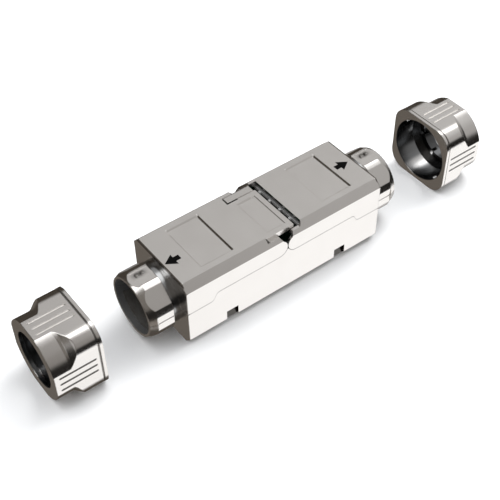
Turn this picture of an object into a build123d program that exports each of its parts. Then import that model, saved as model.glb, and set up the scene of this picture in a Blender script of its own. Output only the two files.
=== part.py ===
from build123d import *

# Shielded inline cable coupler: a die-cast housing with two hinged covers and two bayonet nuts.
# X runs along the cable axis, Z is up, and the origin is the middle of the housing's flat base.
import os
from math import cos, radians, sin, sqrt

os.makedirs("parts", exist_ok=True)

# Housing
housing_length = 53.5
housing_width = 20.0
housing_height = 18.0
edge_chamfer = 1.75
wall = 1.45
floor_thickness = 1.4
end_wall = 1.5
plate_thickness = 1.2
axis_height = housing_height / 2

# Seam between the base and the covers
seam_gap = 0.12
seam_end_rise = 0.85
seam_step_start = 19.0
seam_step_run = 1.2
seam_bend = 0.8
spike_drop = 0.9

# Knuckles, hinge plates and hinge pins
knuckle_radius = 2.15
knuckle_gap = 0.2
knuckle_top_angle = 58.0
knuckle_plate = 0.5
hinge_plate_thickness = 0.4
hinge_plate_gap = 0.05
hinge_plate_foot = 3.0
ear_radius = 1.8
ear_stem_width = 2.0
ear_shoulder_drop = 3.6
pin_radius = 0.8
pin_clearance = 0.05
pin_bite = 0.3

# Middle zone of the covers
zone_left = 5.0
zone_right = 4.5
zone_margin = 0.1
ledge_depth = 1.0
ledge_reach = 1.8
top_reach = 2.65
tongue_end = 2.6
tongue_near = 8.45
tongue_far = 7.5
tongue_gap = 0.12
lip_clearance = 0.18

# Strip let into the left cover
strip_start = 4.8
strip_end = 2.2
strip_inner = 5.6
strip_width = 1.75
strip_thickness = 0.6
strip_gap = 0.12

# Shallow recesses of the covers
recess_depth = 0.35
recess_slope = 45.0
recess_half_width = 6.7
cover_recess_start = 12.2
cover_recess_length = 8.5
tongue_recess_start = -3.5
tongue_recess_length = 4.9
tongue_recess_near = 7.1
tongue_recess_far = 4.1

# Foot notches in the lower side edges
notch_spacing = 30.6
notch_width = 3.1
notch_height = 4.1
notch_depth = 0.8

# Bayonet collars
collar_inset = 1.1
collar_wall = 1.3
collar_length = 7.75
collar_tip_depth = 0.7
collar_tip_length = 1.75
neck_depth = 0.6
neck_length = 1.85
recess_depth_at_middle = 0.37
recess_angle = 45.0
side_flat_depth = 0.25
side_flat_height = 4.5
slot_depth = 0.6
slot_width = 4.4
slot_rib_start = 3.4
slot_rib_length = 0.75
slot_rib_spacing = 1.35
slot_rib_width = 0.8
slot_rib_offset = 0.85
slot_rib_height = 0.3

# Bayonet nuts
nut_length = 11.5
nut_left_face = 46.3
nut_right_face = 49.4
nut_inset = 0.15
nut_corner = 4.0
lip_corner = 4.4
lip_length = 0.8
lip_groove_length = 0.3
lip_groove_depth = 0.15
shoulder_start = 5.2
shoulder_end = 7.6
shoulder_bend = 0.55
shoulder_bend_drop = 0.25
nut_neck_rise = 0.45
nut_clearance = 0.15
seat_gap = 0.1
nut_end_wall = 1.0
cable_hole_inset = 0.1
nub_radius = 0.45
nub_offset = 1.0
nub_clearance = 0.12
grip_groove_start = 1.8
grip_groove_length = 8.7
grip_groove_width = 0.5
grip_groove_spacing = 1.8
grip_groove_depth = 0.25
grip_groove_taper = 30.0

# Clamp rings
clamp_grip = 0.3
clamp_wall = 0.95
clamp_clearance = 0.1
clamp_slot = 0.8
clamp_slots = 8

# Circuit board and what stands on it
board_thickness = 1.2
board_underside = 4.8
board_length = 34.0
board_gap = 0.25
support_size = 2.2
sheet_thickness = 0.25
sheet_length = 24.0
wire_pitch = 3.6
wire_slot = 1.3
row_first = 7.6
row_spacing = 4.6
block_start = 4.35
block_length = 11.4
block_height = 5.6
block_gap = 0.6
comb_thickness = 0.65
comb_gap = 0.2
comb_peg_length = 0.55
comb_peg_width = 0.7
comb_peg_height = 0.6
contact_width = 2.1
contact_thickness = 0.4
contact_clearance = 0.05
contact_tail = 0.8
contact_tail_width = 0.6
contact_fork = 0.35

# Wire guides
guide_start = 7.0
guide_length = 8.4
guide_gap = 0.25
guide_side_gap = 0.3
guide_channel = 0.7

# Shield springs
spring_thickness = 0.25
spring_start = 1.2
spring_length = 5.0
spring_angle = 150.0

half_length = housing_length / 2
half_width = housing_width / 2
pivot_x = knuckle_radius + knuckle_gap / 2
pivot_height = housing_height - edge_chamfer - knuckle_radius
seam_height = pivot_height - knuckle_radius - seam_gap
seam_end_height = axis_height + seam_end_rise
spike_height = pivot_height - spike_drop
ear_shoulder_height = pivot_height - ear_shoulder_drop
ledge_height = housing_height - ledge_depth
plate_underside = housing_height - plate_thickness
comb_top = plate_underside - comb_gap
collar_radius = axis_height - collar_inset
collar_bore = collar_radius - collar_wall
collar_tip_radius = collar_radius - collar_tip_depth
neck_radius = collar_radius - neck_depth
recess_floor = collar_radius - recess_depth_at_middle
side_flat = collar_radius - side_flat_depth
slot_floor = collar_radius - slot_depth
nut_half_width = axis_height - nut_inset
nut_neck_radius = nut_half_width + nut_neck_rise
cable_hole = collar_bore - cable_hole_inset
clamp_bore = cable_hole - clamp_grip
inner_half_width = half_width - wall
hinge_half_width = half_width - knuckle_plate
hinge_zone = zone_right + zone_margin
wire_rows = [(k - 1.5) * wire_pitch for k in range(4)]
ends = {"left": -1, "right": 1}
nut_faces = {"left": nut_left_face, "right": nut_right_face}
edge_points = [
    (-half_width, edge_chamfer),
    (-half_width + edge_chamfer, 0),
    (half_width - edge_chamfer, 0),
    (half_width, edge_chamfer),
    (half_width, housing_height - edge_chamfer),
    (half_width - edge_chamfer, housing_height),
    (-half_width + edge_chamfer, housing_height),
    (-half_width, housing_height - edge_chamfer),
]


def save(part, label):
    """Write one finished piece under its own name."""
    part.label = label
    export_step(part, f"parts/{label}.step")


def across(x):
    """Plane square to the cable axis, with local x along Y and local y along Z."""
    return Plane.YZ.offset(x)


def axis_at(x):
    """Plane square to the cable axis whose origin lies on that axis."""
    return Plane((x, 0, axis_height), x_dir=(0, 1, 0), z_dir=(1, 0, 0))


def sweep_plane():
    """Plane along the cable axis for turned profiles: local x along X, local y up from the axis."""
    return Plane((0, 0, axis_height), x_dir=(1, 0, 0), z_dir=(0, -1, 0))


def seam_edge(side, outer, gap):
    """Corners of the seam on one side of the middle, from the end to the foot of the knuckle."""
    return [
        (side * outer, seam_end_height + gap),
        (side * (seam_step_start + seam_step_run), seam_end_height + gap),
        (side * seam_step_start, seam_height + gap),
        (side * pivot_x, seam_height + gap),
    ]


def collar_profile(bore):
    """Half section of a collar, from the housing's end face to the tip, above the cable axis."""
    start = half_length
    neck_end = half_length + neck_length
    tip = half_length + collar_length
    cone = tip - collar_tip_length
    return [
        (start, bore),
        (start, neck_radius),
        (neck_end, neck_radius),
        (neck_end, collar_radius),
        (cone, collar_radius),
        (tip, collar_tip_radius),
        (tip, bore),
    ]


def make_collar(side):
    """Whole collar of one end, a ring with the bayonet's recesses, flats and index slot."""
    neck_end = half_length + neck_length
    tip = half_length + collar_length
    cone = tip - collar_tip_length
    with BuildPart() as collar:
        with BuildSketch(sweep_plane()):
            with BuildLine():
                Polyline([(side * x, r) for x, r in collar_profile(collar_bore)], close=True)
            make_face()
        revolve(axis=Axis((0, 0, axis_height), (1, 0, 0)))
        # four chord recesses that let the nut's nubs pass to the neck
        for turn in range(4):
            with BuildSketch(Plane((side * neck_end, 0, axis_height), x_dir=(0, 1, 0), z_dir=(side, 0, 0))):
                with Locations(Location((0, 0, 0), (0, 0, side * (recess_angle + 90 * turn)))):
                    with Locations((recess_floor + 1, 0)):
                        Rectangle(2, 2 * collar_radius)
            extrude(amount=collar_length, mode=Mode.SUBTRACT)
        # flats on both sides, between the neck and the cone
        with BuildSketch(axis_at(side * neck_end)):
            with GridLocations(2 * (side_flat + 1), 0, 2, 1):
                Rectangle(2, side_flat_height)
        extrude(amount=side * (cone - neck_end), mode=Mode.SUBTRACT)
        # index slot along the top
        with BuildSketch(axis_at(side * neck_end)):
            with Locations((0, slot_floor + 1)):
                Rectangle(slot_width, 2)
        extrude(amount=side * collar_length, mode=Mode.SUBTRACT)
        # two detent ribs on the slot's floor
        for number in range(2):
            start = half_length + slot_rib_start + number * slot_rib_spacing
            with BuildSketch(axis_at(side * start)):
                with Locations((slot_rib_offset, slot_floor)):
                    Rectangle(slot_rib_width, 2 * slot_rib_height)
            extrude(amount=side * slot_rib_length)
    return collar.part


def make_lower_housing():
    """Trough with half collars, recesses for the hinge plates and posts for the board."""
    with BuildPart() as body:
        with BuildSketch(across(-half_length)):
            with BuildLine():
                Polyline(edge_points, close=True)
            make_face()
        extrude(amount=housing_length)
        # everything above the seam belongs to the covers
        with BuildSketch(Plane.XZ):
            with BuildLine() as seam:
                left = seam_edge(-1, half_length + 1, 0)
                right = seam_edge(1, half_length + 1, 0)
                arc_radius = knuckle_radius + seam_gap
                rise = pivot_height - spike_height
                reach = pivot_x - sqrt(arc_radius**2 - rise**2)
                FilletPolyline(left, radius=seam_bend)
                bend = arc_radius * cos(radians(45))
                ThreePointArc(
                    (-pivot_x, seam_height),
                    (-pivot_x + bend, pivot_height - bend),
                    (-reach, spike_height),
                )
                Line((-reach, spike_height), (reach, spike_height))
                ThreePointArc(
                    (reach, spike_height),
                    (pivot_x - bend, pivot_height - bend),
                    (pivot_x, seam_height),
                )
                FilletPolyline(right, radius=seam_bend)
                Polyline(
                    right[0],
                    (half_length + 1, housing_height + 1),
                    (-half_length - 1, housing_height + 1),
                    left[0],
                )
            make_face()
        extrude(amount=half_width + 1, both=True, mode=Mode.SUBTRACT)
        # inside of the trough, with a recess in each side wall for a hinge plate
        with BuildSketch(Plane.XY.offset(floor_thickness)):
            Rectangle(housing_length - 2 * end_wall, 2 * inner_half_width)
        extrude(amount=housing_height, mode=Mode.SUBTRACT)
        with BuildSketch(Plane.XY.offset(hinge_plate_foot)):
            Rectangle(2 * hinge_zone, 2 * hinge_half_width)
        extrude(amount=housing_height, mode=Mode.SUBTRACT)
        # cable way through the end walls
        with BuildSketch(axis_at(-half_length - 1)):
            Circle(collar_bore)
        extrude(amount=housing_length + 2, mode=Mode.SUBTRACT)
        # foot notches
        for side in (-1, 1):
            with BuildSketch(Plane.XY):
                with Locations((0, side * half_width)):
                    with GridLocations(notch_spacing, 0, 2, 1):
                        Rectangle(notch_width, 2 * notch_depth)
            extrude(amount=notch_height, mode=Mode.SUBTRACT)
        # lower halves of the collars
        for side in (-1, 1):
            add(lower_collars[side])
        # four posts that carry the board
        with BuildSketch(Plane.XY.offset(floor_thickness)):
            with GridLocations(
                board_length - support_size, 2 * inner_half_width - support_size, 2, 2
            ):
                Rectangle(support_size, support_size)
        extrude(amount=board_underside - floor_thickness)
    return body.part


def cover_outline(side):
    """Side outline of one cover as a face, with its knuckle, seam edge and top."""
    points = seam_edge(side, half_length, seam_gap)
    with BuildSketch(Plane.XZ) as outline:
        with BuildLine():
            top_angle = radians(knuckle_top_angle)
            crown = (
                side * (pivot_x - knuckle_radius * cos(top_angle)),
                pivot_height + knuckle_radius * sin(top_angle),
            )
            nose = (side * (pivot_x - knuckle_radius), pivot_height)
            FilletPolyline(points, radius=seam_bend)
            ThreePointArc(points[3], nose, crown)
            Polyline(
                crown,
                (side * ledge_reach, ledge_height),
                (side * top_reach, housing_height),
                (side * half_length, housing_height),
                points[0],
            )
        make_face()
    return outline.sketch


def make_cover(side):
    """Cover of one end: shell, knuckles and the upper half of the collar."""
    zone = zone_left if side < 0 else zone_right
    near_inner = tongue_near if side < 0 else tongue_near + tongue_gap
    far_inner = tongue_far if side < 0 else tongue_far + tongue_gap
    outline = cover_outline(side)
    with BuildPart() as cover:
        extrude(outline, amount=half_width, both=True)
        # chamfered outer form, with a flat ledge beside the middle plate
        with BuildSketch(across(0)):
            with BuildLine():
                Polyline(edge_points, close=True)
            make_face()
        extrude(amount=side * half_length, mode=Mode.INTERSECT)
        with BuildSketch(Plane.XZ.offset(tongue_near)):
            with BuildLine():
                bend_start = zone - ledge_depth
                Line((0, ledge_height), (side * bend_start, ledge_height))
                ThreePointArc(
                    (side * bend_start, ledge_height),
                    (side * (bend_start + ledge_depth * sin(radians(45))),
                     housing_height - ledge_depth * cos(radians(45))),
                    (side * zone, housing_height),
                )
                Polyline(
                    (side * zone, housing_height),
                    (side * zone, housing_height + 1),
                    (0, housing_height + 1),
                    (0, ledge_height),
                )
            make_face()
        extrude(amount=half_width - tongue_near, mode=Mode.SUBTRACT)
        # inside of the shell, wider beside the hinges
        with BuildSketch(Plane.XY.offset(plate_underside)):
            outer = half_length - end_wall
            with Locations((side * outer / 2, 0)):
                Rectangle(outer, 2 * inner_half_width)
        extrude(amount=-housing_height, mode=Mode.SUBTRACT)
        with BuildSketch(Plane.XY.offset(housing_height - edge_chamfer)):
            with Locations((side * hinge_zone / 2, 0)):
                Rectangle(hinge_zone, 2 * hinge_half_width)
        extrude(amount=-housing_height, mode=Mode.SUBTRACT)
        # opening over the middle
        with BuildSketch(Plane.XY.offset(housing_height - edge_chamfer)):
            with Locations((side * zone / 2, (far_inner - near_inner) / 2)):
                Rectangle(zone, far_inner + near_inner)
        extrude(amount=edge_chamfer, mode=Mode.SUBTRACT)
        # cable way and the upper half of the collar
        with BuildSketch(axis_at(side * (half_length - end_wall - 1))):
            Circle(collar_bore)
        extrude(amount=side * (end_wall + 2), mode=Mode.SUBTRACT)
        add(upper_collars[side])
        # blind holes for the pins in the knuckle plates
        for face in (-1, 1):
            hole_end = hinge_half_width + pin_bite + pin_clearance
            with BuildSketch(Plane.XZ.offset(-face * hole_end)):
                with Locations((side * pivot_x, pivot_height)):
                    Circle(pin_radius + pin_clearance)
            extrude(amount=face * (hole_end - hinge_half_width + 0.1), mode=Mode.SUBTRACT)
        # shallow recess with sloped walls
        middle = side * (cover_recess_start + cover_recess_length / 2)
        with BuildSketch(Plane.XY.offset(housing_height)):
            with Locations((middle, 0)):
                Rectangle(cover_recess_length, 2 * recess_half_width)
        extrude(amount=-recess_depth, taper=recess_slope, mode=Mode.SUBTRACT)
    return cover.part


lip_relief = sqrt((tongue_end - pivot_x) ** 2 + (housing_height - pivot_height) ** 2) + lip_clearance
collars = {side: make_collar(side) for side in (-1, 1)}
lower_collars = {
    side: split(collar, bisect_by=Plane.XY.offset(axis_height), keep=Keep.BOTTOM)
    for side, collar in collars.items()
}
upper_collars = {
    side: split(collar, bisect_by=Plane.XY.offset(axis_height + seam_gap), keep=Keep.TOP)
    for side, collar in collars.items()
}

# Base
save(make_lower_housing(), "lower_housing")

# Steel hinge plates with two ears each, let into the side walls of the base
hinge_plate_width = 2 * pivot_x + ear_stem_width
ear_outer = hinge_half_width - hinge_plate_gap
for face_name, face in (("near", -1), ("far", 1)):
    with BuildPart() as hinge_plate:
        with BuildSketch(Plane.XZ.offset(-face * ear_outer)):
            with Locations((0, (hinge_plate_foot + ear_shoulder_height) / 2)):
                Rectangle(hinge_plate_width, ear_shoulder_height - hinge_plate_foot)
            with Locations((0, (ear_shoulder_height + pivot_height) / 2)):
                with GridLocations(2 * pivot_x, 0, 2, 1):
                    Rectangle(ear_stem_width, pivot_height - ear_shoulder_height)
            with Locations((0, pivot_height)):
                with GridLocations(2 * pivot_x, 0, 2, 1):
                    Circle(ear_radius)
                    Circle(pin_radius, mode=Mode.SUBTRACT)
        extrude(amount=face * hinge_plate_thickness)
    save(hinge_plate.part, f"hinge_plate_{face_name}")

# Left cover, whose plate runs on over the middle as a tongue
left_shell = make_cover(-1)
with BuildPart() as cover_left:
    add(left_shell)
    with BuildSketch(Plane.XY.offset(plate_underside)):
        with Locations(((tongue_end - zone_left) / 2, (tongue_far - tongue_near) / 2)):
            Rectangle(tongue_end + zone_left, tongue_far + tongue_near)
    extrude(amount=plate_thickness)
    # pocket for the strip
    with BuildSketch(Plane.XY.offset(housing_height)):
        pocket_inner = strip_inner - 2 * strip_gap
        pocket_outer = strip_inner + strip_width + strip_gap
        pocket_start = -strip_start - strip_gap
        with Locations(((pocket_start + tongue_end) / 2, (pocket_inner + pocket_outer) / 2)):
            Rectangle(tongue_end - pocket_start, pocket_outer - pocket_inner)
    extrude(amount=-strip_thickness, mode=Mode.SUBTRACT)
    # shallow recess of the middle plate
    with BuildSketch(Plane.XY.offset(housing_height)):
        with Locations((
            tongue_recess_start + tongue_recess_length / 2,
            (tongue_recess_far - tongue_recess_near) / 2,
        )):
            Rectangle(tongue_recess_length, tongue_recess_far + tongue_recess_near)
    extrude(amount=-recess_depth, taper=recess_slope, mode=Mode.SUBTRACT)
save(cover_left.part, "cover_left")

# Right cover, whose edge over the slot is a thin lip that clears the tongue as the cover turns
right_shell = make_cover(1)
with BuildPart() as cover_right:
    add(right_shell)
    with BuildSketch(Plane.XZ.offset(-tongue_far - tongue_gap)):
        with Locations((pivot_x, pivot_height)):
            Circle(lip_relief)
    extrude(amount=tongue_far + tongue_near + 2 * tongue_gap, mode=Mode.SUBTRACT)
save(cover_right.part, "cover_right")

# Strip in the left cover
with BuildPart() as hinge_strip:
    with BuildSketch(Plane.XY.offset(housing_height)):
        with Locations(((strip_end - strip_start) / 2, strip_inner + strip_width / 2)):
            Rectangle(strip_end + strip_start, strip_width)
    extrude(amount=-strip_thickness)
save(hinge_strip.part, "hinge_strip")

# Hinge pins, pressed into the hinge plates' ears and turning in the knuckle plates
for end, side in ends.items():
    for face_name, face in (("near", -1), ("far", 1)):
        pin_outer = hinge_half_width + pin_bite
        pin_inner = hinge_half_width - hinge_plate_gap - hinge_plate_thickness
        with BuildPart() as hinge_pin:
            with BuildSketch(Plane.XZ.offset(-face * pin_outer)):
                with Locations((side * pivot_x, pivot_height)):
                    Circle(pin_radius)
            extrude(amount=face * (pin_outer - pin_inner))
        save(hinge_pin.part, f"hinge_pin_{end}_{face_name}")


def make_nut(side, face):
    """Square nut with a lip, four shouldered corners, grip grooves and two bayonet nubs."""
    bore = collar_radius + nut_clearance
    cone_start = collar_length - collar_tip_length - 0.3
    chamber = collar_length + seat_gap
    body_start = lip_length + lip_groove_length
    groove_end = grip_groove_length / 2
    groove_side = grip_groove_width / 2
    groove_points = [
        (-groove_end, 0),
        (-groove_end + groove_side, -groove_side),
        (groove_end - groove_side, -groove_side),
        (groove_end, 0),
        (groove_end - groove_side, groove_side),
        (-groove_end + groove_side, groove_side),
    ]
    with BuildPart() as nut:
        with BuildSketch(axis_at(side * face)):
            RectangleRounded(housing_height, housing_height, lip_corner)
        extrude(amount=side * lip_length)
        with BuildSketch(axis_at(side * (face + lip_length))):
            width = 2 * (nut_half_width - lip_groove_depth)
            RectangleRounded(width, width, nut_corner)
        extrude(amount=side * lip_groove_length)
        with BuildSketch(axis_at(side * (face + body_start))):
            RectangleRounded(2 * nut_half_width, 2 * nut_half_width, nut_corner)
        extrude(amount=side * (nut_length - body_start))
        # shoulders and round neck
        with BuildSketch(sweep_plane()):
            with BuildLine():
                corner = (nut_half_width - nut_corner) * sqrt(2) + nut_corner
                Polyline(
                    [(side * (face + u), r) for u, r in (
                        (shoulder_start, corner + 0.1),
                        (shoulder_start + shoulder_bend, corner - shoulder_bend_drop),
                        (shoulder_end - shoulder_bend, nut_neck_radius + shoulder_bend_drop),
                        (shoulder_end, nut_neck_radius),
                        (nut_length + 1, nut_neck_radius),
                        (nut_length + 1, corner + 2),
                        (shoulder_start, corner + 2),
                    )],
                    close=True,
                )
            make_face()
        revolve(axis=Axis((0, 0, axis_height), (1, 0, 0)), mode=Mode.SUBTRACT)
        # inside: bore, cone seat, clamp chamber and cable hole
        with BuildSketch(sweep_plane()):
            with BuildLine():
                Polyline(
                    [(side * (face + u), r) for u, r in (
                        (-1, 0),
                        (-1, bore),
                        (cone_start, bore),
                        (chamber, collar_tip_radius + nut_clearance),
                        (nut_length - nut_end_wall, collar_tip_radius + nut_clearance),
                        (nut_length - nut_end_wall, cable_hole),
                        (nut_length + 1, cable_hole),
                        (nut_length + 1, 0),
                    )],
                    close=True,
                )
            make_face()
        revolve(axis=Axis((0, 0, axis_height), (1, 0, 0)), mode=Mode.SUBTRACT)
        # bayonet nubs
        tip = recess_floor + nub_clearance
        for turn in (0, 180):
            angle = radians((45 if side > 0 else 135) + turn)
            outward = Vector(0, cos(angle), sin(angle))
            origin = Vector(side * (face + nub_offset), 0, axis_height) + outward * tip
            with BuildSketch(Plane(origin, x_dir=(1, 0, 0), z_dir=outward)):
                Circle(nub_radius)
            extrude(amount=bore - tip + 0.3)
        # grip grooves in the four flats
        for quarter in range(4):
            angle = radians(90 * quarter)
            outward = Vector(0, cos(angle), sin(angle))
            middle = face + grip_groove_start + grip_groove_length / 2
            origin = Vector(side * middle, 0, axis_height) + outward * nut_half_width
            with BuildSketch(Plane(origin, x_dir=(1, 0, 0), z_dir=outward)):
                with GridLocations(0, grip_groove_spacing, 1, 3):
                    Polygon(*groove_points)
            extrude(amount=-grip_groove_depth, taper=grip_groove_taper, mode=Mode.SUBTRACT)
    return nut.part


def make_clamp(side, face):
    """Split clamp ring that sits in the nut's chamber and grips the cable."""
    start = face + collar_length + seat_gap + clamp_clearance
    length = nut_length - nut_end_wall - clamp_clearance - (start - face)
    with BuildPart() as clamp:
        with BuildSketch(axis_at(side * start)):
            Circle(clamp_bore + clamp_wall)
            Circle(clamp_bore, mode=Mode.SUBTRACT)
        extrude(amount=side * length)
        # slots from the housing side leave fingers on a closed ring
        with BuildSketch(axis_at(side * start)):
            with PolarLocations(clamp_bore + clamp_wall / 2, clamp_slots, start_angle=22.5):
                Rectangle(2 * clamp_wall, clamp_slot)
        extrude(amount=side * length * 0.6, mode=Mode.SUBTRACT)
    return clamp.part


for end, side in ends.items():
    save(make_nut(side, nut_faces[end]), f"nut_{end}")
    save(make_clamp(side, nut_faces[end]), f"clamp_{end}")

# Circuit board with holes for the contact tails
board_top = board_underside + board_thickness
row_places = [row_first, row_first + row_spacing]
with BuildPart() as circuit_board:
    with BuildSketch(Plane.XY.offset(board_underside)):
        Rectangle(board_length, 2 * (inner_half_width - board_gap))
        for side in (-1, 1):
            for row in row_places:
                for y in wire_rows:
                    with Locations((side * row, y)):
                        Rectangle(contact_thickness + 0.2, contact_tail_width + 0.2, mode=Mode.SUBTRACT)
    extrude(amount=board_thickness)
save(circuit_board.part, "circuit_board")

# Insulating sheet on the floor of the trough
with BuildPart() as insulating_sheet:
    with BuildSketch(Plane.XY.offset(floor_thickness)):
        Rectangle(sheet_length, 2 * (inner_half_width - board_gap))
    extrude(amount=sheet_thickness)
save(insulating_sheet.part, "insulating_sheet")


def make_block(side):
    """Terminal block with wire slots, contact pockets and a comb wall towards the middle."""
    half = inner_half_width - board_gap
    with BuildPart() as block:
        with BuildSketch(Plane.XY.offset(board_top)):
            with Locations((side * (block_start + block_length / 2), 0)):
                Rectangle(block_length, 2 * half)
        extrude(amount=block_height)
        with BuildSketch(Plane.XY.offset(board_top)):
            with Locations((side * (block_start + comb_thickness / 2), 0)):
                Rectangle(comb_thickness, 2 * half)
        extrude(amount=comb_top - board_top)
        # pegs that keep the wires apart at the top of the comb
        with BuildSketch(Plane.XY.offset(comb_top)):
            with Locations([(side * (block_start - comb_peg_length / 2), y) for y in wire_rows]):
                Rectangle(comb_peg_length, comb_peg_width)
        extrude(amount=-comb_peg_height)
        slot_start = block_start + comb_thickness + block_gap
        slot_length = block_length - comb_thickness
        for y in wire_rows:
            with BuildSketch(Plane.XY.offset(board_top + block_height)):
                with Locations((side * (slot_start + slot_length / 2), y)):
                    Rectangle(slot_length, wire_slot)
            extrude(amount=-block_height * 0.5, mode=Mode.SUBTRACT)
            for row in row_places:
                with BuildSketch(Plane.XY.offset(board_top)):
                    with Locations((side * row, y)):
                        Rectangle(
                            contact_thickness + 2 * contact_clearance,
                            contact_width + 2 * contact_clearance,
                        )
                extrude(amount=block_height, mode=Mode.SUBTRACT)
    return block.part


def make_contact(side, row, y):
    """Forked insulation displacement contact with a solder tail."""
    top = board_top + block_height - 0.4
    with BuildPart() as contact:
        with BuildSketch(across(side * row - contact_thickness / 2)):
            with Locations((y, (board_top + top) / 2)):
                Rectangle(contact_width, top - board_top)
            with Locations((y, (board_underside - contact_tail + board_top) / 2)):
                Rectangle(contact_tail_width, board_thickness + contact_tail)
            with Locations((y, top - block_height * 0.25)):
                Rectangle(contact_fork, block_height * 0.5, mode=Mode.SUBTRACT)
        extrude(amount=contact_thickness)
    return contact.part


def make_guide(side):
    """Wire manager that hangs in the cover and presses the wires into the contacts."""
    low = board_top + block_height + guide_gap
    width = 2 * (inner_half_width - guide_side_gap)
    with BuildPart() as guide:
        with BuildSketch(Plane.XY.offset(low)):
            with Locations((side * (guide_start + guide_length / 2), 0)):
                Rectangle(guide_length, width)
        extrude(amount=plate_underside - low)
        for y in wire_rows:
            with BuildSketch(Plane(
                (side * guide_start, y, low), x_dir=(0, 1, 0), z_dir=(1, 0, 0)
            )):
                Circle(guide_channel)
            extrude(amount=side * guide_length, mode=Mode.SUBTRACT)
    return guide.part


def make_spring(side):
    """Shield spring: a curved strip with four slots, lying in the lower half of the collar."""
    with BuildPart() as spring:
        with BuildSketch(axis_at(side * (half_length + spring_start))):
            Circle(collar_bore)
            Circle(collar_bore - spring_thickness, mode=Mode.SUBTRACT)
            with Locations((0, collar_bore * (1 - cos(radians(spring_angle / 2))))):
                Rectangle(4 * collar_bore, 2 * collar_bore, mode=Mode.SUBTRACT)
        extrude(amount=side * spring_length)
    return spring.part


for end, side in ends.items():
    save(make_block(side), f"terminal_block_{end}")
    save(make_guide(side), f"wire_guide_{end}")
    save(make_spring(side), f"shield_spring_{end}")
    number = 0
    for row in row_places:
        for y in wire_rows:
            number += 1
            save(make_contact(side, row, y), f"contact_{end}_{number}")
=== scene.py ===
# %% [markdown]
# This lesson dresses a shielded cable coupler that is drawn apart.
# The coupler is a nickel plated zinc housing with two hinged covers and a bayonet nut for each end.
# Its solids arrive as a fixed frame, in metres and already in place, so this lesson is about looks:
# the camera, the light in the metal, and one finish after another.

import math

import bmesh
import bpy
from mathutils import Matrix, Vector


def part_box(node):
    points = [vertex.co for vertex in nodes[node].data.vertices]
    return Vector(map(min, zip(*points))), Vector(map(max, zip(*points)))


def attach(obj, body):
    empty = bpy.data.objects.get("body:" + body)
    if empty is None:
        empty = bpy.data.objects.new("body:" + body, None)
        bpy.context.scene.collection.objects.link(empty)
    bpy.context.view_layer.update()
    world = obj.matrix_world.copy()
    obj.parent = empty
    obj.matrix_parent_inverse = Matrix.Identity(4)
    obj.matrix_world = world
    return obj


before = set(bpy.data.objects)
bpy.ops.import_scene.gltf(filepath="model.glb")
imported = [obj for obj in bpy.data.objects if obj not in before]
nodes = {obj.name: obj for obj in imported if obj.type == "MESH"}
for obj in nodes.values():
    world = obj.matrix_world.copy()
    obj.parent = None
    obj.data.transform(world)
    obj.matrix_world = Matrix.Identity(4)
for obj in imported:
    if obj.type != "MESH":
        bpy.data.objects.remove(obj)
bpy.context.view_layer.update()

# %% [markdown]
# The camera comes first, because every later choice is judged through it.
# A photograph fixes the camera once enough edges of known size are found in it.
# The angles below say how far the camera is turned round the object, how high it stands and how
# it is tilted, and the lens follows from the size of the near and the far end.

# %% Camera at the photograph's view
MM = 0.001
CAMERA_TURN = math.radians(-36.461)
CAMERA_HEIGHT = math.radians(45.731)
CAMERA_TILT = math.radians(-0.917)
CAMERA_PLACE = Vector((-97.251, -127.606, 169.279)) * MM
LENS_LENGTH = 72.0
NEAREST_SEEN = 5 * MM

camera_data = bpy.data.cameras.new("camera")
camera_data.lens = LENS_LENGTH
camera_data.clip_start = NEAREST_SEEN
camera = bpy.data.objects.new("camera", camera_data)
bpy.context.scene.collection.objects.link(camera)
back = Vector((
    math.sin(CAMERA_TURN) * math.cos(CAMERA_HEIGHT),
    -math.cos(CAMERA_TURN) * math.cos(CAMERA_HEIGHT),
    math.sin(CAMERA_HEIGHT),
))
level = Vector((math.cos(CAMERA_TURN), math.sin(CAMERA_TURN), 0.0))
right = level * math.cos(CAMERA_TILT) + back.cross(level) * math.sin(CAMERA_TILT)
up = back.cross(right)
turned = Matrix((right, up, back)).transposed().to_4x4()
camera.matrix_world = Matrix.Translation(CAMERA_PLACE) @ turned
bpy.context.scene.camera = camera
print("camera looks along", [round(-part, 3) for part in back])

# %% [markdown]
# Shader nodes are wired by hand in the editor, and in a script that soon gets hard to read.
# One small class keeps it short: it wraps a socket, so that sums on sockets add their Math nodes,
# and its one method adds any other node with its settings first and its values or links after.

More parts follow.
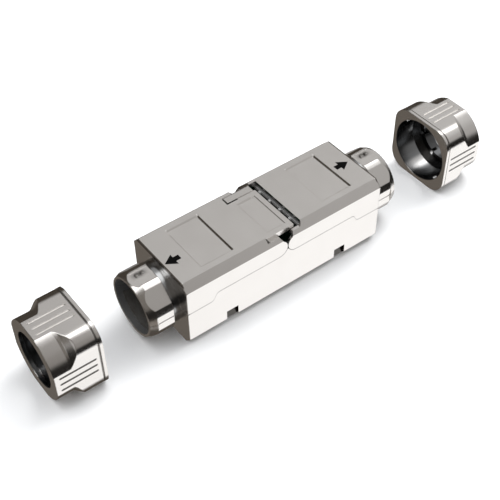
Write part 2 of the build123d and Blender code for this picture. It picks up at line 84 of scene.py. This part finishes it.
# %% Sockets that can be used in sums
class Signal:
    """An output socket, or the start of an empty node tree, that can be used in sums."""

    def __init__(self, tree, socket=None):
        self.tree = tree
        self.socket = socket

    def node(self, kind, settings=None, inputs=None, output=0):
        """Add a node: first its type and settings, then the values or links of its sockets."""
        made = self.tree.nodes.new(kind)
        for name, value in (settings or {}).items():
            setattr(made, name, value)
        for name, value in (inputs or {}).items():
            if isinstance(value, Signal):
                self.tree.links.new(value.socket, made.inputs[name])
            else:
                made.inputs[name].default_value = value
        return Signal(self.tree, made.outputs[output] if made.outputs else None)

    def math(self, operation, first, second=0.0):
        return self.node("ShaderNodeMath", {"operation": operation}, {0: first, 1: second})

    def __add__(self, other):
        return self.math("ADD", self, other)

    def __radd__(self, other):
        return self.math("ADD", other, self)

    def __sub__(self, other):
        return self.math("SUBTRACT", self, other)

    def __rsub__(self, other):
        return self.math("SUBTRACT", other, self)

    def __mul__(self, other):
        return self.math("MULTIPLY", self, other)

    def __rmul__(self, other):
        return self.math("MULTIPLY", other, self)

    def size(self):
        """The signal without its sign."""
        return self.math("ABSOLUTE", self)

    def clipped(self):
        """The signal, but 1 where it would be more."""
        return self.math("MINIMUM", self, 1.0)

    def step(self, start, end):
        """Rise smoothly from 0 at the start to 1 at the end, which may be the lower of the two."""
        return self.node(
            "ShaderNodeMapRange",
            {"interpolation_type": "SMOOTHSTEP"},
            {"Value": self, "From Min": start, "From Max": end},
            output="Result",
        )

    def below(self, limit, fade):
        """Fall from 1 to 0 as the signal passes the limit, over the width of the fade."""
        return self.step(limit + fade / 2, limit - fade / 2)

    def above(self, limit, fade):
        """Rise from 0 to 1 as the signal passes the limit, over the width of the fade."""
        return self.step(limit - fade / 2, limit + fade / 2)

    def parts(self):
        """The x, y and z of a vector signal."""
        made = self.node("ShaderNodeSeparateXYZ", inputs={0: self}).socket.node
        return [Signal(self.tree, made.outputs[axis]) for axis in "XYZ"]


print("a signal can", ", ".join(name for name in vars(Signal) if not name.startswith("_")))

# %% [markdown]
# A Math node turns a colour grey, so colours and directions are mixed by a Mix node instead.

# %% Greys and blends
def grey(value, warmth=0.0):
    """A grey that leans to brown when warmth is above nought, and to blue below it."""
    return (value * (1 + warmth), value, value * (1 - warmth), 1.0)


def blend(kind, factor, low, high):
    """A Mix node of the given kind, from low where the factor is 0 to high where it is 1."""
    return factor.node(
        "ShaderNodeMix",
        {"data_type": kind},
        {"Factor": factor, "A": low, "B": high},
        output="Result",
    )


def blend_colours(factor, low, high):
    return blend("RGBA", factor, low, high)


def blend_normals(factor, low, high):
    return blend("VECTOR", factor, low, high)


print("a warm grey:", [round(part, 3) for part in grey(0.8, 0.02)])

# %% [markdown]
# Polished metal has almost no colour of its own: what is seen is the room in it.
# The room could be built from lamps and cards, but each card then shows as a hard patch.
# Here the room is painted on the sky as a function of direction, so every face finds its own tone:
# a bright strip of ceiling, grey walls with dark corners, a dark gap above the front edge of the
# table, a pale table with darker parts, and two windows that only views from behind find in the
# covers. First come the tones, and then the places where one tone gives way to the next.

# %% Tones of the room
CEILING = grey(1.9, 0.01)
BACK_WALL = grey(0.49, 0.025)
FRONT_WALL_LOW = grey(0.42, 0.03)
FRONT_WALL_HIGH = grey(0.60, 0.02)
LEFT_WALL = grey(0.16, 0.10)
DARK_CORNER = grey(0.045, 0.20)
DARK_GAP = grey(0.012, 0.1)
WINDOW = grey(0.46, 0.025)
TABLE = grey(1.15, 0.012)
FAR_TABLE = grey(0.45, 0.03)
SHADED_TABLE = grey(0.12, 0.14)
LEFT_TABLE = grey(0.18, 0.14)
UNDER_TABLE = grey(0.07, 0.16)
BACKDROP = grey(1.0)
print("the ceiling is", round(CEILING[1] / DARK_GAP[1]), "times as bright as the dark gap")

# %% Places in the room
# Each pair says where a change starts and where it is complete, in parts of a direction.
# These run from left to right.
RIGHT_HALF = (-0.05, 0.20)
LEFT_WALL_END = (-0.05, 0.60)
LEFT_TABLE_END = (-0.15, -0.02)
BEND_START, BEND_END = (0.24, 0.30), (0.52, 0.44)
LEFT_WINDOW_X, BACK_WINDOW_X = (-0.64, -0.74), (-0.34, -0.42)
# These run from front to back.
FRONT_HALF = (0.15, -0.15)
FAR_SIDE = (0.70, 0.80)
FAR_CORNER = (0.59, 0.66)
STRIP_FRONT, STRIP_BACK = (-0.14, 0.08), (0.44, 0.30)
LEFT_WINDOW_Y, BACK_WINDOW_Y = (-0.25, -0.35), (0.72, 0.78)
# These run from the foot to the top.
HIGH_FRONT_WALL = (0.50, 0.75)
GAP_TOP = (0.30, 0.08)
LOW_WALL_TOP = (0.56, 0.44)
STRIP_FOOT = (0.58, 0.70)
WINDOW_FOOT, WINDOW_TOP = (0.20, 0.28), (0.62, 0.56)
TABLE_EDGE = (-0.28, -0.38)
UNDER_TABLE_TOP = (-0.80, -0.92)
# The strip of ceiling bends forward a little right of the middle, and the edge of the table
# lies lower in front than at the back.
STRIP_BEND = 0.20
TABLE_DIP = 0.10
print("the strip of ceiling starts at a height of", STRIP_FOOT[0], "of a direction")

# %% Room that the metal reflects
world = bpy.data.worlds.new("studio")
bpy.context.scene.world = world
world.use_nodes = True
world.node_tree.nodes.clear()
sky = Signal(world.node_tree)
direction = sky.node("ShaderNodeTexCoord", output="Generated")
sky_x, sky_y, sky_z = direction.parts()

front = sky_y.step(*FRONT_HALF)
right_half = sky_x.step(*RIGHT_HALF)
far_side = sky_y.step(*FAR_SIDE)

front_wall = blend_colours(sky_z.step(*HIGH_FRONT_WALL), FRONT_WALL_LOW, FRONT_WALL_HIGH)
front_wall = blend_colours(sky_x.step(*LEFT_WALL_END), LEFT_WALL, front_wall)
front_wall = blend_colours(sky_z.step(*GAP_TOP), front_wall, DARK_GAP)
low_wall = blend_colours(sky_y.step(*FAR_CORNER), BACK_WALL, DARK_CORNER)
back_wall = blend_colours(far_side, BACK_WALL, DARK_CORNER)
back_wall = blend_colours(sky_z.step(*LOW_WALL_TOP), back_wall, low_wall)
back_wall = blend_colours(right_half, DARK_CORNER, back_wall)
wall = blend_colours(front, back_wall, front_wall)

left_window = sky_x.step(*LEFT_WINDOW_X) * sky_y.step(*LEFT_WINDOW_Y)
back_window = sky_x.step(*BACK_WINDOW_X) * sky_y.step(*BACK_WINDOW_Y)
window_height = sky_z.step(*WINDOW_FOOT) * sky_z.step(*WINDOW_TOP)
wall = blend_colours((left_window + back_window) * window_height, wall, WINDOW)

bend = STRIP_BEND * (sky_x.step(*BEND_START) * sky_x.step(*BEND_END))
strip = (sky_y + bend).step(*STRIP_FRONT) * sky_y.step(*STRIP_BACK)
room = blend_colours(strip * sky_z.step(*STRIP_FOOT), wall, CEILING)

near_table = blend_colours(sky_x.step(*LEFT_TABLE_END), LEFT_TABLE, TABLE)
far_table = blend_colours(far_side, FAR_TABLE, DARK_CORNER)
far_table = blend_colours(right_half, SHADED_TABLE, far_table)
table = blend_colours(front, far_table, near_table)
table = blend_colours(sky_z.step(*UNDER_TABLE_TOP), table, UNDER_TABLE)
room = blend_colours((sky_z + TABLE_DIP * front).step(*TABLE_EDGE), room, table)
print("room so far:", len(world.node_tree.nodes), "nodes")

# %% [markdown]
# A product photograph has a white ground, while the painted room is there for the metal alone.
# So a ray that comes straight from the lens finds a white backdrop where the table ends.

# %% White backdrop
seen_directly = sky.node("ShaderNodeLightPath", output="Is Camera Ray")
room = blend_colours(seen_directly, room, BACKDROP)
light = sky.node("ShaderNodeBackground", inputs={"Color": room, "Strength": 1.0})
sky.node("ShaderNodeOutputWorld", inputs={"Surface": light})
print("room with its backdrop:", len(world.node_tree.nodes), "nodes")

# %% [markdown]
# The coupler lies on a plain pale table. It is cut off where the light on it starts to fade, so
# that it runs into the white backdrop unseen. It stays out of mirror rays, because the painted
# room already holds its tone.

# %% Table
FLOOR_HALF = 0.45
FLOOR_DROP = 0.05 * MM
FLOOR_TONE = (0.89, 0.90, 0.915, 1.0)

floor_mesh = bpy.data.meshes.new("floor")
floor_mesh.from_pydata(
    [(x * FLOOR_HALF, y * FLOOR_HALF, 0.0) for x, y in ((-1, -1), (1, -1), (1, 1), (-1, 1))],
    [],
    [(0, 1, 2, 3)],
)
floor = bpy.data.objects.new("floor", floor_mesh)
bpy.context.scene.collection.objects.link(floor)
floor.visible_glossy = False
floor.location.z = -FLOOR_DROP

floor_material = bpy.data.materials.new("floor_paint")
floor_material.use_nodes = True
floor_material.node_tree.nodes.clear()
paint = Signal(floor_material.node_tree)
floor_shader = paint.node(
    "ShaderNodeBsdfPrincipled",
    inputs={"Base Color": FLOOR_TONE, "Roughness": 1.0, "Specular IOR Level": 0.0},
)
paint.node("ShaderNodeOutputMaterial", inputs={"Surface": floor_shader})
floor_mesh.materials.append(floor_material)
print("the table is", 2 * FLOOR_HALF, "m wide")

# %% [markdown]
# Two lamps light the dull surfaces. One on the right throws soft shadows to the left, and a very
# wide one above fills them. Both are hidden from mirror rays, as the table is.

# %% Lamps
WARM_WHITE = (1.0, 0.99, 0.97)
COOL_WHITE = (0.96, 0.98, 1.0)
AIM = Vector((0.0, 0.0, 0.0))


def add_lamp(name, place, width, power, colour):
    """A round area lamp that lights dull surfaces and stays out of the reflections."""
    data = bpy.data.lights.new(name, "AREA")
    data.shape = "DISK"
    data.size = width
    data.energy = power
    data.color = colour
    lamp = bpy.data.objects.new(name, data)
    lamp.location = place
    lamp.rotation_euler = (AIM - Vector(place)).to_track_quat("-Z", "Y").to_euler()
    lamp.visible_glossy = False
    bpy.context.scene.collection.objects.link(lamp)


add_lamp("key_lamp", (0.42, 0.10, 0.45), width=0.50, power=2.4, colour=WARM_WHITE)
add_lamp("fill_lamp", (0.0, 0.0, 1.0), width=2.0, power=13.0, colour=COOL_WHITE)

# %% [markdown]
# Every finish starts the same way: an empty tree, the place on the object, and the edge of the
# solid. A real casting has no razor edge, and a rounded one catches light as a thin line.
# A Bevel node gives that line without a change to the solid.

# %% A fresh finish with soft edges
BEVEL_SAMPLES = 6


def start_finish(name):
    """A material with an empty tree, and the place on the object as a signal."""
    material = bpy.data.materials.new(name)
    material.use_nodes = True
    material.node_tree.nodes.clear()
    start = Signal(material.node_tree)
    return material, start.node("ShaderNodeTexCoord", output="Object")


def grain(place, scale, detail=3.0, roughness=0.5):
    """Noise of the given number of waves for each metre, from 0 to 1."""
    return place.node(
        "ShaderNodeTexNoise",
        inputs={"Vector": place, "Scale": scale, "Detail": detail, "Roughness": roughness},
    )


def soft_edge(place, radius):
    """The surface normal with each sharp edge rounded to the radius."""
    return place.node("ShaderNodeBevel", {"samples": BEVEL_SAMPLES}, {"Radius": radius})


def bumped(height, depth, normal):
    """The normal, tipped by a height signal that is depth metres high."""
    return height.node(
        "ShaderNodeBump", inputs={"Height": height, "Distance": depth, "Normal": normal}
    )


def coat(place, **inputs):
    """Close a finish with the standard shader and its output."""
    named = {name.replace("_", " "): value for name, value in inputs.items()}
    shader = place.node("ShaderNodeBsdfPrincipled", inputs=named)
    place.node("ShaderNodeOutputMaterial", inputs={"Surface": shader})


def dress(prefixes, material):
    """Give every node whose name starts with one of the prefixes this material."""
    dressed = [name for name in sorted(nodes) if name.startswith(prefixes)]
    for name in dressed:
        mesh = nodes[name].data
        mesh.materials.clear()
        mesh.materials.append(material)
    print(material.name, "on", len(dressed), "nodes")


print("edges are rounded with", BEVEL_SAMPLES, "samples")

# %% [markdown]
# Some places on the castings differ from the plating round them, and most of them are painted light
# and shade: bores, grooves and the collars' necks see little light and are painted with shade,
# seams, notches and a spot on a ledge are painted dark as shade, the collars' slots and the top
# edges of the ends hold painted dark reflections, and the nubs and strips inside the nuts catch the
# light as painted highlights and reflections. They could be cut loose as faces with a material of
# their own, but the solids are fixed. Each is found from its place
# instead, in millimetres, which works in every pose, because the place moves with its body.
# Two lengths come first: the skin keeps a place clear of the next face, and the hair is the width
# of a crisp edge.

# %% Millimetres and bands
AXIS_HEIGHT = 9.0
NUT_MOUTH_MEAN = 47.85
NUT_MOUTH_SHIFT = 1.55
NUT_LENGTH = 11.5
COLLAR_START = 26.77
COLLAR_TIP = 34.5
SKIN = 0.03
HAIR = 0.04


def in_millimetres(place):
    """The x, y and z of a place, in millimetres."""
    return [part * (1 / MM) for part in place.parts()]


def between(signal, low, high, fade=HAIR):
    """1 where the signal lies between low and high, and 0 outside."""
    middle = (low + high) / 2
    return (signal - middle).size().below((high - low) / 2, fade)


left_mouth, right_mouth = NUT_MOUTH_SHIFT - NUT_MOUTH_MEAN, NUT_MOUTH_SHIFT + NUT_MOUTH_MEAN
print("the nuts' mouths are at x =", round(left_mouth, 2), "and", round(right_mouth, 2))

# %% Places on the castings
class Spots:
    """Places on the castings in millimetres, each a signal from 0 to 1."""

    def __init__(self, place):
        self.x, self.y, self.z = in_millimetres(place)
        self.along = self.x.size()
        self.across = self.y.size()
        self.height = self.z - AXIS_HEIGHT
        squared = self.y * self.y + self.height * self.height
        self.radius = squared.math("SQRT", squared)
        shift = self.x.math("SIGN", self.x) * NUT_MOUTH_SHIFT
        self.depth = self.along - NUT_MOUTH_MEAN - shift
        self.in_nut = between(self.depth, SKIN, NUT_LENGTH - SKIN)

    def nubs(self):
        """The two nubs inside a nut's mouth that lock behind the collar, painted pale as
        highlights.
        """
        return between(self.depth, 0.45, 1.55) * self.radius.below(8.00, HAIR)

    def nut_bore(self):
        """All of a nut's inner wall, which is painted with shade."""
        return self.in_nut * self.radius.below(8.10, HAIR)

    def painted_wall_reflection(self):
        """A painted reflection: a pale strip low on a nut's inner wall."""
        low = self.height.below(-4.0, 2.0)
        return low * between(self.y, 1.4, 4.0, 1.2)

    def painted_rim_reflection(self):
        """A narrower painted reflection: a bright strip towards the left nut's cable end, on its
        wall and its clamp.
        """
        low = self.height.below(-4.0, 1.0) * self.x.below(-50.0, HAIR)
        return low * between(self.y, 0.2, 1.9, 0.8)

    def collar_bore(self):
        """The inside of the housing's collars, painted with shade and made dull."""
        in_collar = between(self.along, 24.0, COLLAR_TIP - SKIN)
        return in_collar * self.radius.below(6.66, HAIR)

    def collar_neck_shade(self):
        """The thin neck between the housing and the collar's head, painted with shade."""
        return between(self.along, COLLAR_START, 28.58) * self.radius.below(7.40, HAIR)

    def slot_dark_reflection(self):
        """A soft patch of painted dark reflection in the collar's top slot."""
        length = between(self.along, 29.9, 32.6, 2.4)
        width = between(self.y, 0.3, 1.6, 1.4)
        return length * width * self.height.above(7.25, HAIR)

    def grip_groove_shade(self):
        """The floor of the grip grooves in a nut's flanks, painted with shade."""
        flank = between(self.across, 8.50, 8.82)
        return self.in_nut * flank * self.height.size().below(2.30, HAIR)

    def lip_groove_shade(self):
        """The fine ring groove behind a nut's lip, painted with shade."""
        return between(self.depth, 0.80, 1.10) * self.radius.above(8.20, HAIR)

    def foot_notch_shade(self):
        """The square notches at the foot of the side walls, painted dark as shade."""
        foot = between(self.along, 13.65, 16.95) * self.z.below(4.20, HAIR)
        return foot * between(self.across, 9.00, 9.93)

    def plate_edge(self):
        """The small step beside the middle plate, shaded as if it lay flat."""
        edge = between(self.x, 0.6, 1.28) * between(self.y, -7.4, 4.4)
        return edge * between(self.z, 17.55, 17.985, 0.02)

    def end_edge_dark_reflection(self):
        """A painted dark reflection along the top edges of the housing's ends."""
        return between(self.along, 26.45, 26.80) * self.z.above(17.30, 0.3)

    def strip_seam_shadow(self):
        """Painted shadow in the seam round the far end of the hinge strip."""
        side = between(self.y, 5.18, 5.64) * between(self.x, -5.2, -2.2)
        tip = between(self.y, 5.18, 7.30) * between(self.x, -5.16, -4.76)
        return (side + tip).clipped() * self.z.above(17.2, HAIR)

    def ledge_shade_spot(self):
        """A dark dot of painted shade on the ledge by the near knuckles."""
        near = between(self.y, -9.2, -8.6, 0.3)
        return between(self.x, -4.95, -4.35, 0.3) * near * between(self.z, 16.6, 17.9)

    def grip_zone(self):
        """The four flats of a nut, whose grip edges are finer than the rest."""
        top = self.across.below(2.40, HAIR) * self.height.size().above(8.4, HAIR)
        side = self.height.size().below(2.40, HAIR) * self.across.above(8.4, HAIR)
        return between(self.depth, 1.5, 10.8) * (top + side)

    def sharp(self):
        """Where the edges are crisp: all of the housing between its ends, but for four corners."""
        corner_y = between(self.y, 6.35, 7.05, 0.1)
        outer = between(self.along, 20.35, 21.0, 0.1)
        inner = between(self.along, 11.9, 12.5, 0.1)
        return self.along.below(26.30, 0.1) * (1.0 - corner_y * (outer + inner))


print("places:", ", ".join(name for name in vars(Spots) if not name.startswith("_")))

# %% [markdown]
# The housing, covers and nuts are cast in zinc, tumbled smooth and plated with nickel.
# The plating is a little warm, and the casting under it leaves a faint unevenness that only
# shows in the reflections, so it drives the roughness and a very shallow bump. The tones of the
# places above, which are painted shade, shadow, reflections and highlights, are laid over it one
# after another, like masks in a paint program.

# %% Plated castings
# The nuts' inner walls are painted with shade, lightened by pale strips of painted reflection.
WALL_SHADE = grey(0.26, -0.03)
WALL_REFLECTION = grey(0.80)
WALL_REFLECTION_SHARE = 0.9
DULL_SHARE = 0.8
CAST_EDGE = 0.26 * MM
GRIP_EDGE = 0.12 * MM


def plated_casting():
    material, place = start_finish("plated_zinc")
    cloud = grain(place, scale=220.0, detail=2.0)
    speck = grain(place, scale=5200.0)
    spots = Spots(place)
    # The nubs are painted pale as highlights, and are less metallic.
    nubs = spots.nubs()
    # The collar bores are painted dark as shade, and are also less metallic and rougher.
    collar_bore = spots.collar_bore()
    painted_reflection = spots.painted_wall_reflection() * WALL_REFLECTION_SHARE + spots.painted_rim_reflection()
    colour = blend_colours(cloud, grey(0.80, 0.022), grey(0.86, 0.018))
    for spot, tone in (
        (spots.nut_bore(), blend_colours(painted_reflection, WALL_SHADE, WALL_REFLECTION)),
        (spots.grip_groove_shade(), grey(0.40, 0.02)),
        (spots.lip_groove_shade(), grey(0.46, 0.02)),
        (spots.foot_notch_shade(), grey(0.07, 0.06)),
        (spots.collar_neck_shade(), grey(0.42, -0.02)),
        (spots.slot_dark_reflection(), grey(0.22, 0.05)),
        (spots.end_edge_dark_reflection(), grey(0.22, 0.10)),
        (spots.strip_seam_shadow(), grey(0.12, 0.05)),
        (spots.ledge_shade_spot(), grey(0.20, 0.05)),
        (collar_bore, grey(0.13)),
        (nubs, grey(0.92)),
    ):
        colour = blend_colours(spot, colour, tone)
    upright = place.node("ShaderNodeCombineXYZ", inputs={"Z": 1.0})
    flat = place.node("ShaderNodeNewGeometry", output="Normal")
    flat = blend_normals(spots.plate_edge(), flat, upright)
    edges = soft_edge(place, CAST_EDGE)
    edges = blend_normals(spots.grip_zone(), edges, soft_edge(place, GRIP_EDGE))
    edges = blend_normals(spots.sharp(), edges, flat)
    coat(
        place,
        Base_Color=colour,
        Metallic=1.0 - (DULL_SHARE * collar_bore + DULL_SHARE * nubs).clipped(),
        Roughness=0.16 + 0.05 * cloud + 0.05 * speck + 0.2 * collar_bore,
        Normal=bumped(speck, depth=0.0015 * MM, normal=edges),
    )
    return material


dress(("lower_housing", "cover_", "nut_"), plated_casting())

# %% [markdown]
# Smaller metal pieces differ in how they were worked: the hinge strip is plated like the castings
# but drawn, the hinge plates and pins are bare stamped steel, and the clamps are turned and
# stand in the shade of the nuts, so their colour is painted dark as shade. All show fine lines,
# so one function stretches the same noise.

# %% Strip, steel and clamps
ALONG_X = (0.04, 1.0, 1.0)
ALONG_Z = (1.0, 1.0, 0.05)
AROUND_X = (1.0, 0.08, 0.08)
RIM_REFLECTION_TONE = grey(0.85)


def drawn_metal(name, low, high, polish, stretch, edge, rim=False):
    """Metal with fine lines along one axis, given as the stretch of the grain on x, y and z."""
    material, place = start_finish(name)
    stretched = place.node("ShaderNodeMapping", inputs={"Vector": place, "Scale": stretch})
    lines = grain(stretched, scale=6000.0, detail=4.0, roughness=0.6)
    colour = blend_colours(lines, low, high)
    # On the clamp, rim paints the same narrow strip of painted reflection as on the left nut's
    # wall.
    if rim:
        colour = blend_colours(Spots(place).painted_rim_reflection(), colour, RIM_REFLECTION_TONE)
    coat(
        place,
        Base_Color=colour,
        Metallic=1.0,
        Roughness=polish + 0.12 * lines,
        Normal=bumped(lines, depth=0.002 * MM, normal=soft_edge(place, edge)),
    )
    return material


plated_strip = drawn_metal(
    "plated_strip",
    grey(0.773, 0.02),
    grey(0.84, 0.02),
    polish=0.14,
    stretch=ALONG_X,
    edge=0.06 * MM,
)
hinge_steel = drawn_metal(
    "hinge_steel", grey(0.570), grey(0.62), polish=0.26, stretch=ALONG_Z, edge=0.05 * MM
)
# The clamps' two dark greys are painted shade from the nuts.
clamp_metal = drawn_metal(
    "clamp_metal",
    grey(0.10, -0.03),
    grey(0.13, -0.03),
    polish=0.16,
    stretch=AROUND_X,
    edge=0.08 * MM,
    rim=True,
)
dress(("hinge_strip",), plated_strip)
dress(("hinge_plate", "hinge_pin"), hinge_steel)
dress(("clamp_",), clamp_metal)

# %% [markdown]
# Springs and contacts are phosphor bronze strip. The contacts are tinned, which greys them,
# while the tin wears thin where the wire is cut in, so the bronze comes through in patches.
# The springs sit in the shade of the collars, so their bronze and plating are painted dark as
# shade, and they are dull.

# %% Bronze springs and contacts
BARE_BRONZE = (0.80, 0.52, 0.28, 1.0)
TIN = (0.78, 0.77, 0.74, 1.0)
SHADE_PAINTED_NICKEL = (0.15, 0.15, 0.145, 1.0)
SHADE_PAINTED_BRONZE = (0.12, 0.11, 0.10, 1.0)


def bronze(name, bare, tinned, tin_share, metal_share):
    """Bronze strip with patches of tin over it."""
    material, place = start_finish(name)
    tin = grain(place, scale=900.0).step(0.35, 0.65) * tin_share
    lines = grain(place, scale=7000.0, roughness=0.6)
    coat(
        place,
        Base_Color=blend_colours(tin, bare, tinned),
        Metallic=metal_share,
        Roughness=0.20 + 0.14 * lines,
        Normal=bumped(lines, depth=0.001 * MM, normal=soft_edge(place, 0.04 * MM)),
    )
    return material


spring_bronze = bronze(
    "spring_bronze", SHADE_PAINTED_BRONZE, SHADE_PAINTED_NICKEL, tin_share=0.6, metal_share=0.25
)
contact_bronze = bronze("contact_bronze", BARE_BRONZE, TIN, tin_share=0.9, metal_share=1.0)
dress(("shield_spring",), spring_bronze)
dress(("contact_",), contact_bronze)

# %% [markdown]
# The inner plastics are moulded: dark terminal blocks whose comb on top is painted paler as a
# highlight, pale wire guides and a thin yellow film under the board. Moulded plastic has a fine
# even texture and a dull, broad highlight, so all three share one function, which is told how to
# find the colour.

# %% Moulded plastics and film
COMB_FOOT = 15.9
PEG_REACH = 4.40
FILM_LOW = (0.62, 0.50, 0.20, 1.0)
FILM_HIGH = (0.70, 0.58, 0.26, 1.0)


def moulded(name, colour_of, polish, depth):
    """Moulded plastic; colour_of gives its colour from the place and a cloudy noise."""
    material, place = start_finish(name)
    cloud = grain(place, scale=300.0, detail=2.0)
    pits = grain(place, scale=9000.0, detail=2.0)
    coat(
        place,
        Base_Color=colour_of(place, cloud),
        Roughness=polish + 0.1 * cloud,
        Normal=bumped(pits, depth=depth, normal=soft_edge(place, 0.10 * MM)),
    )
    return material


def block_colours(place, cloud):
    """Dark blocks, a grey comb above them and paler pegs at the comb's middle, both painted
    highlights.
    """
    x, _, z = in_millimetres(place)
    body = blend_colours(cloud, grey(0.018), grey(0.032))
    comb_highlight = blend_colours(x.size().below(PEG_REACH, HAIR), grey(0.20), grey(0.42))
    return blend_colours(z.above(COMB_FOOT, 0.2), body, comb_highlight)


def guide_colours(place, cloud):
    return blend_colours(cloud, grey(0.50, -0.02), grey(0.60, -0.02))


def film_colours(place, cloud):
    return blend_colours(cloud, FILM_LOW, FILM_HIGH)


PITS = 0.004 * MM
dress(("terminal_block",), moulded("block_plastic", block_colours, 0.38, PITS))
dress(("wire_guide",), moulded("guide_plastic", guide_colours, 0.42, PITS))
dress(("insulating_sheet",), moulded("insulating_film", film_colours, 0.20, 0.001 * MM))

# %% [markdown]
# The circuit board is glass cloth under green lacquer. Copper tracks run under the lacquer from
# one block to the other, and show as slightly raised, paler lines. A sine wave across the board,
# cut off near its top, gives evenly spaced tracks.

# %% Circuit board
TRACK_PITCH = 1.6
TRACK_GREEN = (0.020, 0.16, 0.060, 1.0)
GREEN_LOW = (0.006, 0.055, 0.022, 1.0)
GREEN_HIGH = (0.010, 0.075, 0.030, 1.0)


def board_lacquer():
    material, place = start_finish("board")
    _, across, _ = in_millimetres(place)
    turns = across * (2 * math.pi / TRACK_PITCH)
    track = turns.math("SINE", turns).step(0.25, 0.45)
    weave = grain(place, scale=4000.0, detail=2.0)
    lacquer = blend_colours(weave, GREEN_LOW, GREEN_HIGH)
    coat(
        place,
        Base_Color=blend_colours(track, lacquer, TRACK_GREEN),
        Roughness=0.22 + 0.1 * weave,
        Coat_Weight=0.4,
        Normal=bumped(track, depth=0.02 * MM, normal=soft_edge(place, 0.05 * MM)),
    )
    return material


dress(("circuit_board",), board_lacquer())

# %% [markdown]
# Each cover carries one plain black arrow that points to its cable end. Print is a film of ink a
# few hundredths of a millimetre thick, so it is a real thin solid here, and not a picture.

# %% Arrow ink
def ink():
    material, place = start_finish("arrow_ink")
    fleck = grain(place, scale=8000.0, detail=2.0)
    coat(
        place,
        Base_Color=blend_colours(fleck, grey(0.001), grey(0.003)),
        Specular_IOR_Level=0.08,
        Roughness=0.70 + 0.15 * fleck,
        Normal=bumped(fleck, depth=0.004 * MM, normal=soft_edge(place, 0.02 * MM)),
    )
    return material


ARROW_INK = ink()
print("ink:", len(ARROW_INK.node_tree.nodes), "nodes")

# %% Printed arrows
ARROW_LENGTH = 3.75 * MM
ARROW_HEAD = 2.45 * MM
ARROW_HALF_HEAD = 1.6 * MM
ARROW_HALF_SHAFT = 0.65 * MM
INK_THICKNESS = 0.02 * MM
INK_SUNK = INK_THICKNESS / 2
TOP_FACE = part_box("cover_left")[1].z
OUTLINE = [
    (0.0, 0.0),
    (-ARROW_HEAD, ARROW_HALF_HEAD),
    (-ARROW_HEAD, ARROW_HALF_SHAFT),
    (-ARROW_LENGTH, ARROW_HALF_SHAFT),
    (-ARROW_LENGTH, -ARROW_HALF_SHAFT),
    (-ARROW_HEAD, -ARROW_HALF_SHAFT),
    (-ARROW_HEAD, -ARROW_HALF_HEAD),
]


def print_arrow(name, tip_x, tip_y, points_to, body):
    """A flat arrow with its tip at the given place, pointing along plus or minus x."""
    film = bmesh.new()
    corners = [
        film.verts.new((tip_x + points_to * x, tip_y + y, TOP_FACE - INK_SUNK))
        for x, y in OUTLINE
    ]
    face = film.faces.new(corners)
    raised = bmesh.ops.extrude_face_region(film, geom=[face])["geom"]
    for vertex in [g for g in raised if isinstance(g, bmesh.types.BMVert)]:
        vertex.co.z += INK_SUNK + INK_THICKNESS
    bmesh.ops.recalc_face_normals(film, faces=film.faces)
    mesh = bpy.data.meshes.new(name)
    film.to_mesh(mesh)
    film.free()
    mesh.materials.append(ARROW_INK)
    arrow = bpy.data.objects.new(name, mesh)
    bpy.context.scene.collection.objects.link(arrow)
    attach(arrow, body)


print_arrow("arrow_left", -26.2 * MM, -1.45 * MM, -1, "cover_left")
print_arrow("arrow_right", 25.4 * MM, -0.1 * MM, 1, "cover_right")
print("arrows are", round(ARROW_LENGTH / MM, 2), "mm long")

# %% [markdown]
# The picture is shown with plain, unshaped tones, as a product photograph on white is.

# %% Tones
bpy.context.scene.view_settings.view_transform = "Standard"
